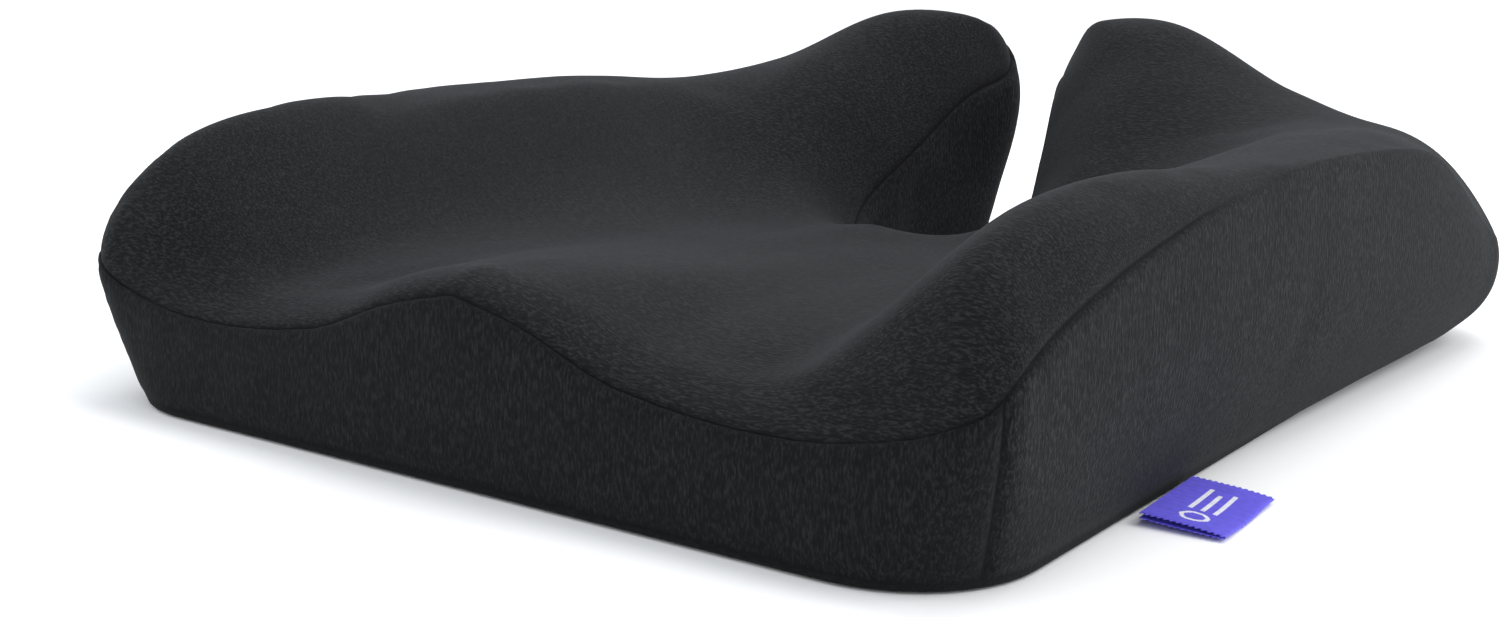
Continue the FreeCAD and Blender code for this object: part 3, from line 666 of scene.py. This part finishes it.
def zip_pocket(points):
    """Moves along x of the left wall: out beside the zip, and in for a pocket between two lips."""
    low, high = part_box("zipper_tape_lower")[0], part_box("zipper_tape_upper")[1]
    y_low, y_high = low[1] + 0.004, high[1] - 0.004
    z_low, z_high = low[2] + 0.003, high[2] - 0.003
    x, y, z = points.T
    face = low[0] + ZIP_SLANT * (high[1] - y)
    deep = smoothstep((y - y_low) / 0.0025) * smoothstep((y_high - y) / 0.0025)
    deep *= smoothstep((z - z_low) / 0.0022) * smoothstep((z_high - z) / 0.0022)
    beyond_y = np.maximum(0, np.maximum(y_low - y, y - y_high))
    beyond_z = np.maximum(0, np.maximum(z_low - z, z - z_high))
    beside = np.hypot(beyond_y, beyond_z)
    past_end = np.maximum(0, np.where(y > y_high, beyond_y - 0.024, beyond_y))
    near = np.exp(-((np.hypot(past_end * 0.7, beyond_z) / 0.016) ** 2))
    move = near * np.clip(face - WALL_PROUD - x, -0.004, 0.018)
    lip = np.exp(-(((beside - 0.001) / 0.002) ** 2)) * (1 - deep) * (beside > 0)
    move += POCKET_DEPTH * deep - LIP_HEIGHT * lip
    tab_room = smoothstep((y - y_high) / 0.004) * smoothstep((y_high + TAB_ROOM_LENGTH - y) / 0.006)
    move += POCKET_DEPTH * tab_room * np.exp(-((beyond_z / TAB_ROOM_HALF) ** 2))
    return np.where(x < -0.15, move, 0) * smoothstep((z - 0.004) / 0.004)


def round_noses(mesh, marks):
    """Takes the sharpness off the two front bolsters' crests."""
    points = positions(mesh)
    x, y, z = points.T
    height = points * (0, 0, 1)
    softer = settled(mesh, height, 12)[:, 2]
    share = np.exp(-((np.hypot(np.abs(x) - 0.18, (y + 0.15) * 0.6) / 0.07) ** 2))
    share = np.where((marks > 0) | (z < 0.06), 0, share)
    points[:, 2] += (softer - z) * share
    set_positions(mesh, points)


def build_cover():
    shell, points, rows, under, run = build_shell()
    mesh = make_mesh("cushion_cover", points, shell.faces)
    layer = mesh.uv_layers.new(name="cloth")
    layer.data.foreach_set("uv", np.asarray(shell.uv, float).ravel())
    mesh.polygons.foreach_set("material_index", shell.piece)
    seam = mesh.attributes.new("seam", "FLOAT", "POINT")
    marks = np.zeros(len(points))
    marks[rows[0]] = 1
    marks[rows[-1]] = 1
    for c in seam_columns():
        for row in rows:
            marks[row[c]] = 1
    seam.data.foreach_set("value", marks)
    place = mesh.attributes.new("run", "FLOAT", "POINT")
    runs = np.zeros(len(points))
    for row in rows:
        runs[row] = run[:-1]
    for c in seam_columns():
        for row in rows[2:-1]:
            runs[row[c]] = 5 + 0.3 * c + points[row[c], 2]
    place.data.foreach_set("value", runs)
    merge_triangles(mesh)
    round_noses(mesh, marks)
    points = positions(mesh)
    cover = link("cushion_cover", mesh)

    base = np.where(points[:, 2] < SEAM_Z + 1e-6)[0]
    pins = np.unique(np.concatenate([np.where(marks > 0)[0], *under, base]))
    longest = puff(cover, pins)
    print("longest cloth move before the cap", round(longest * 1000, 2), "mm")
    subdivide = cover.modifiers.new("subdivision", "SUBSURF")
    subdivide.levels = subdivide.render_levels = 1
    subdivide.boundary_smooth = "ALL"
    mesh = bake_modifiers(cover)
    finish_cover(mesh)
    mesh.shade_smooth()
    return cover


def finish_cover(mesh):
    """Seam grooves, the puffed shoulders beside them, puckers, the zip's pocket and the painted seam
    shade.
    """
    points, out = positions(mesh), normals(mesh)
    marks = np.empty(len(points))
    mesh.attributes["seam"].data.foreach_get("value", marks)
    runs = np.empty(len(points))
    mesh.attributes["run"].data.foreach_get("value", runs)
    on_seam = np.where(marks > 0.99)[0]
    tree = KDTree(len(on_seam))
    for k, i in enumerate(on_seam):
        tree.insert(points[i], k)
    tree.balance()
    nearest = [tree.find(p) for p in points]
    which = on_seam[[n[1] for n in nearest]]
    away = np.array([n[2] for n in nearest])
    run = runs[which]
    x, y, z = points.T

    sx, sy, sz = points[which].T
    flank = smoothstep((np.abs(sx) - 0.19) / 0.006) * smoothstep((sy + 0.125) / 0.07)
    crisp = 1 - 0.85 * flank * (sz > 0.02)
    sink = -0.0015 * np.exp(-((away / 0.0011) ** 1.4)) + 0.0004 * np.exp(-(((away - 0.006) / 0.005) ** 2))
    sink *= crisp
    # painted shade: near the seam lines, a share from 0 to 1 by which the knit's colour is darkened to
    # near black, standing in for the shade in the seams' folds
    painted_seam_shade = mesh.attributes.new("painted_seam_shade", "FLOAT", "POINT")
    painted_seam_shade.data.foreach_set("value", np.exp(-((away / 0.0010) ** 2)) * crisp)
    nose = np.exp(-((np.hypot(np.abs(sx) - 0.192, sy + 0.222) / 0.045) ** 2)) * (sz > 0.02)
    pucker = wave(run, 3, (0.0054, 0.0073, 0.0098)) * (0.00006 + 0.0003 * nose) * crisp
    pucker *= np.exp(-away / 0.011) * (1 - np.exp(-away / 0.0015))
    calm = smoothstep((z - 0.004) / 0.004)
    moved = points + out * ((sink + pucker) * calm)[:, None]
    moved[:, 0] += zip_pocket(points)
    set_positions(mesh, moved)


# ------------------------------------------------------------------ materials


def ramp(tree, stops, source):
    node = tree.nodes.new("ShaderNodeValToRGB")
    while len(node.color_ramp.elements) < len(stops):
        node.color_ramp.elements.new(0.5)
    for element, (at, colour) in zip(node.color_ramp.elements, stops):
        element.position = at
        element.color = (*colour, 1) if len(colour) == 3 else colour
    tree.links.new(source, node.inputs["Fac"])
    return node.outputs["Color"]


def stretched(tree, source, scale):
    node = tree.nodes.new("ShaderNodeMapping")
    node.inputs["Scale"].default_value = scale
    tree.links.new(source, node.inputs["Vector"])
    return node.outputs["Vector"]


def noise(tree, vector, scale=1.0, detail=2.0, roughness=0.5):
    node = tree.nodes.new("ShaderNodeTexNoise")
    node.inputs["Scale"].default_value = scale
    node.inputs["Detail"].default_value = detail
    node.inputs["Roughness"].default_value = roughness
    tree.links.new(vector, node.inputs["Vector"])
    return node.outputs["Fac"]


def mixed(tree, kind, factor, a, b):
    node = tree.nodes.new("ShaderNodeMix")
    node.data_type = "RGBA"
    node.blend_type = kind
    for socket, value in ((node.inputs[0], factor), (node.inputs[6], a), (node.inputs[7], b)):
        if isinstance(value, bpy.types.NodeSocket):
            tree.links.new(value, socket)
        else:
            socket.default_value = value
    return node.outputs[2]


def worked(tree, operation, a, b):
    node = tree.nodes.new("ShaderNodeMath")
    node.operation = operation
    for socket, value in zip(node.inputs, (a, b)):
        if isinstance(value, bpy.types.NodeSocket):
            tree.links.new(value, socket)
        else:
            socket.default_value = value
    return node.outputs[0]


def blended(tree, *parts):
    """Sum of the given outputs, each times its own share."""
    total = worked(tree, "MULTIPLY", *parts[0])
    for source, share in parts[1:]:
        total = worked(tree, "ADD", total, worked(tree, "MULTIPLY", source, share))
    return total


def heather(name, along, dark, mid, light, sheen):
    """Charcoal heathered knit. along is the streaks' direction, "x" or "z"."""
    material, tree, shader = principled(name)
    place = tree.nodes.new("ShaderNodeTexCoord").outputs["Object"]
    long, short = 350.0, 1350.0
    turn = (long, short, short) if along == "x" else (short, short, long)
    fine = tuple(1.9 * s for s in turn)
    coarse = tuple(0.6 * s for s in turn)
    streaks = noise(tree, stretched(tree, place, turn), 1.0, 1.0, 0.6)
    threads = noise(tree, stretched(tree, place, fine), 1.0, 1.0, 0.6)
    slubs = noise(tree, stretched(tree, place, coarse), 1.0, 2.0, 0.6)
    clouds = noise(tree, stretched(tree, place, (22, 22, 22)), 1.0, 3.0, 0.55)
    yarn = blended(tree, (streaks, 0.6), (threads, 0.35), (slubs, 0.18))
    both = ramp(tree, [(0.455, dark), (0.565, mid), (0.68, light)], yarn)
    shade = ramp(tree, [(0.3, (0.86, 0.86, 0.87)), (0.7, (1.10, 1.10, 1.09))], clouds)
    cloth_colour = mixed(tree, "MULTIPLY", 1.0, both, shade)
    # painted shade: along the seams the colour is mixed towards near black by the seam attribute, for the
    # shade in their folds
    painted_seam_shade = tree.nodes.new("ShaderNodeAttribute")
    painted_seam_shade.attribute_name = "painted_seam_shade"
    share = worked(tree, "MULTIPLY", painted_seam_shade.outputs["Fac"], 0.75)
    colour = mixed(tree, "MIX", share, cloth_colour, (0.0008, 0.0008, 0.0009, 1))
    tree.links.new(colour, shader.inputs["Base Color"])

    wales = tree.nodes.new("ShaderNodeTexWave")
    wales.wave_type = "BANDS"
    wales.bands_direction = "Y" if along == "x" else "DIAGONAL"
    wales.inputs["Scale"].default_value = 1.0
    wales.inputs["Distortion"].default_value = 1.2
    wales.inputs["Detail"].default_value = 2.0
    wales.inputs["Detail Scale"].default_value = 1.5
    tree.links.new(stretched(tree, place, (260, 260, 260 if along == "x" else 0)), wales.inputs["Vector"])
    height = blended(tree, (streaks, 0.7), (threads, 0.5), (wales.outputs["Fac"], 0.12))
    bump = tree.nodes.new("ShaderNodeBump")
    bump.inputs["Strength"].default_value = 0.4
    bump.inputs["Distance"].default_value = 0.0006
    tree.links.new(height, bump.inputs["Height"])
    tree.links.new(bump.outputs["Normal"], shader.inputs["Normal"])
    rough = ramp(tree, [(0.3, (0.86, 0.86, 0.86)), (0.7, (0.97, 0.97, 0.97))], threads)
    tree.links.new(rough, shader.inputs["Roughness"])
    shader.inputs["Specular IOR Level"].default_value = 0.18
    shader.inputs["Sheen Weight"].default_value = sheen
    shader.inputs["Sheen Roughness"].default_value = 0.55
    shader.inputs["Sheen Tint"].default_value = (0.8, 0.85, 1.0, 1)
    return material


def woven(name, colour, warp=1500.0, weft=1500.0, rough=0.6, sheen=0.2, second=None):
    """Plain woven tape or label: crossed threads with a little uneven colour."""
    material, tree, shader = principled(name)
    place = tree.nodes.new("ShaderNodeTexCoord").outputs["Object"]
    waves = []
    for direction, scale in (("Y", warp), ("Z", weft)):
        node = tree.nodes.new("ShaderNodeTexWave")
        node.bands_direction = direction
        node.inputs["Scale"].default_value = scale / 20
        node.inputs["Distortion"].default_value = 0.6
        tree.links.new(place, node.inputs["Vector"])
        waves.append(node.outputs["Fac"])
    spots = noise(tree, stretched(tree, place, (400, 400, 400)), 1.0, 3.0, 0.6)
    other = second or tuple(c * 0.6 for c in colour)
    cloth = ramp(tree, [(0.3, other), (0.7, colour)], spots)
    tree.links.new(cloth, shader.inputs["Base Color"])
    height = blended(tree, (waves[0], 0.5), (waves[1], 0.5))
    bump = tree.nodes.new("ShaderNodeBump")
    bump.inputs["Strength"].default_value = 0.5
    bump.inputs["Distance"].default_value = 0.0002
    tree.links.new(height, bump.inputs["Height"])
    tree.links.new(bump.outputs["Normal"], shader.inputs["Normal"])
    shader.inputs["Roughness"].default_value = rough
    shader.inputs["Sheen Weight"].default_value = sheen
    shader.inputs["Specular IOR Level"].default_value = 0.3
    return material


def smooth_solid(name, colour, worn, metallic, rough_low, rough_high, grain=900.0, bump_size=0.00005):
    """Moulded or lacquered solid: fine grain, uneven gloss and rubbed patches."""
    material, tree, shader = principled(name)
    place = tree.nodes.new("ShaderNodeTexCoord").outputs["Object"]
    broad = noise(tree, stretched(tree, place, (120, 120, 120)), 1.0, 3.0, 0.6)
    fine = noise(tree, stretched(tree, place, (grain, grain, grain)), 1.0, 2.0, 0.5)
    tree.links.new(ramp(tree, [(0.45, colour), (0.75, worn)], broad), shader.inputs["Base Color"])
    low, high = (rough_low,) * 3, (rough_high,) * 3
    tree.links.new(ramp(tree, [(0.35, low), (0.7, high)], broad), shader.inputs["Roughness"])
    bump = tree.nodes.new("ShaderNodeBump")
    bump.inputs["Strength"].default_value = 0.4
    bump.inputs["Distance"].default_value = bump_size
    tree.links.new(fine, bump.inputs["Height"])
    tree.links.new(bump.outputs["Normal"], shader.inputs["Normal"])
    shader.inputs["Metallic"].default_value = metallic
    return material


# ------------------------------------------------------------------ labels

LABEL_WIDTH, LABEL_CELL = 0.046, 0.0005


def label_path():
    """Side view of the folded label, from the seam over the fold and back: (out, height)."""
    top = [(-0.0015, 0.0043), (0.006, 0.0038), (0.014, 0.0031), (0.021, 0.0023), (0.0252, 0.0017)]
    turn = [(0.0263, 0.0013), (0.0258, 0.0010)]
    under = [(0.021, 0.0010), (0.012, 0.0015), (0.004, 0.0022), (-0.0015, 0.0026)]
    points = np.array(top + turn + under)
    steps = np.linalg.norm(np.diff(points, axis=0), axis=1)
    run = np.concatenate([[0], np.cumsum(steps)])
    count = int(round(run[-1] / LABEL_CELL))
    at = np.linspace(0, run[-1], count + 1)
    smooth = [np.interp(at, run, points[:, k]) for k in (0, 1)]
    smooth = [evened(s, 2) for s in smooth]
    return np.column_stack(smooth), run[-1], at


def mark_at(out, along):
    """Whether the label's plain mark, a ring beside three bars, covers a place on its face."""
    ring = math.hypot(out - 0.0125, along + 0.0135)
    if 0.0032 < ring < 0.0046:
        return True
    for middle, half in ((0.0085, 0.0105), (0.0125, 0.0085), (0.0165, 0.0100)):
        if abs(out - middle) < 0.0009 and -0.0065 < along < -0.0065 + 2 * half:
            return True
    return False


def build_label():
    path, length, at = label_path()
    low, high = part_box("maker_label")
    root = Vector((low[0] + 0.0003, (low[1] + high[1]) / 2, 0))
    across = np.arange(-46, 47) * LABEL_CELL
    columns = len(across)
    points, faces, slots, uv = [], [], [], []
    for k, (out, height) in enumerate(path):
        for j, y in enumerate(across):
            tooth = 0.00045 * (1 if k % 4 < 2 else -1) if j in (0, columns - 1) else 0
            sag = 0.0004 * math.sin(5 + y * 140) * smoothstep(out / 0.02)
            y_here = y + (tooth if j else -tooth)
            points.append((root.x + out, root.y + y_here, max(height + sag, 0.0007)))
    for k in range(len(path) - 1):
        for j in range(columns - 1):
            a = k * columns + j
            faces.append((a, a + columns, a + columns + 1, a + 1))
            on_face = path[k][1] > 0.0016 and k < len(path) // 2
            slots.append(1 if on_face and mark_at(path[k][0], (across[j] + across[j + 1]) / 2) else 0)
    mesh = make_mesh("maker_label_cloth", points, faces)
    mesh.polygons.foreach_set("material_index", slots)
    for material in (LABEL, LABEL_MARK):
        mesh.materials.append(material)
    label = link("maker_label_cloth", mesh)
    thick = label.modifiers.new("thickness", "SOLIDIFY")
    thick.thickness = 0.00035
    thick.offset = 0
    bake_modifiers(label).shade_smooth()
    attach(label, "cushion")
    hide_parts("maker_label")


def build_care_label(cover):
    """A satin band that lies on the left rear wall, from its foot seam up."""
    low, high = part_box("care_label")
    x = np.linspace(low[0], high[0], 41)
    z = np.linspace(low[2] - 0.003, high[2], 25)
    graph = bpy.context.evaluated_depsgraph_get()
    tree = BVHTree.FromObject(cover, graph)
    points, faces = [], []
    for k, height in enumerate(z):
        for here in x:
            hit = tree.ray_cast(Vector((here, 0.3, height)), Vector((0, -1, 0)))[0]
            lift = 0.0005 + 0.0008 * (k / (len(z) - 1)) ** 3
            points.append((here, hit.y + lift, height))
    for k in range(len(z) - 1):
        for j in range(len(x) - 1):
            a = k * len(x) + j
            faces.append((a, a + len(x), a + len(x) + 1, a + 1))
    mesh = make_mesh("care_label_cloth", points, faces)
    mesh.materials.append(SATIN)
    label = link("care_label_cloth", mesh)
    thick = label.modifiers.new("thickness", "SOLIDIFY")
    thick.thickness = 0.0003
    bake_modifiers(label).shade_smooth()
    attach(label, "cushion")
    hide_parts("care_label")


make_camera()
make_floor()
make_lights()
scene.view_settings.view_transform = "Standard"

TOP = heather(
    "knit_top", "x", dark=(0.0011, 0.0011, 0.0013), mid=(0.0038, 0.0040, 0.0044),
    light=(0.0148, 0.0154, 0.0165), sheen=0.028,
)
# painted shade: this copy of the top's knit, for the front, has darker colours than the top's
FRONT_SHADED = heather(
    "knit_front_painted_shade", "z", dark=(0.0010, 0.0010, 0.0011), mid=(0.0032, 0.0033, 0.0035),
    light=(0.0115, 0.0120, 0.0128), sheen=0.02,
)
# painted light: this copy of the top's knit, for the side, rear and notch walls, has lighter colours than
# the top's
SIDE_LIT = heather(
    "knit_side_painted_light", "z", dark=(0.0012, 0.0012, 0.0014), mid=(0.0047, 0.0049, 0.0053),
    light=(0.0178, 0.0184, 0.0196), sheen=0.025,
)
BASE = heather(
    "knit_base", "x", dark=(0.0010, 0.0010, 0.0011), mid=(0.0030, 0.0031, 0.0034),
    light=(0.0070, 0.0073, 0.0080), sheen=0.02,
)
LABEL = woven("label_violet", (0.115, 0.090, 0.70), 1900, 1900, 0.55, 0.1, (0.085, 0.065, 0.56))
LABEL_MARK = woven("label_mark", (0.80, 0.80, 0.86), 1900, 1900, 0.6, 0.1, (0.62, 0.62, 0.72))
SATIN = woven("label_white", (0.74, 0.74, 0.73), 2600, 2600, 0.38, 0.1, (0.66, 0.66, 0.66))
TAPE = woven("tape_black", (0.0075, 0.0077, 0.0085), 1300, 2300, 0.75, 0.15)
NYLON = smooth_solid("nylon_black", (0.008, 0.008, 0.009), (0.020, 0.020, 0.022), 0.0, 0.32, 0.48)
METAL = smooth_solid("metal_lacquered", (0.020, 0.020, 0.022), (0.16, 0.155, 0.15), 0.9, 0.28, 0.45)
SILICONE = smooth_solid("silicone_dark", (0.020, 0.021, 0.023), (0.030, 0.031, 0.034), 0.0, 0.45, 0.62)

cover = build_cover()
for material in (TOP, FRONT_SHADED, SIDE_LIT, SIDE_LIT, SIDE_LIT, BASE):
    cover.data.materials.append(material)
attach(cover, "cushion")
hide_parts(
    "foam_core", "top_panel", "front_panel", "right_side_panel", "left_side_panel",
    "rear_right_panel", "rear_left_panel", "notch_panel", "base_panel",
)
build_label()
build_care_label(cover)

for material, names in (
    (TAPE, ("zipper_tape_upper", "zipper_tape_lower")),
    (NYLON, ("zipper_teeth_upper", "zipper_teeth_lower")),
    (METAL, ("zipper_top_stop", "zipper_end_stop", "zipper_slider", "zipper_pull_tab")),
    (SILICONE, ("grip_dots",)),
):
    for name in names:
        for place in nodes[name].material_slots:
            place.material = material
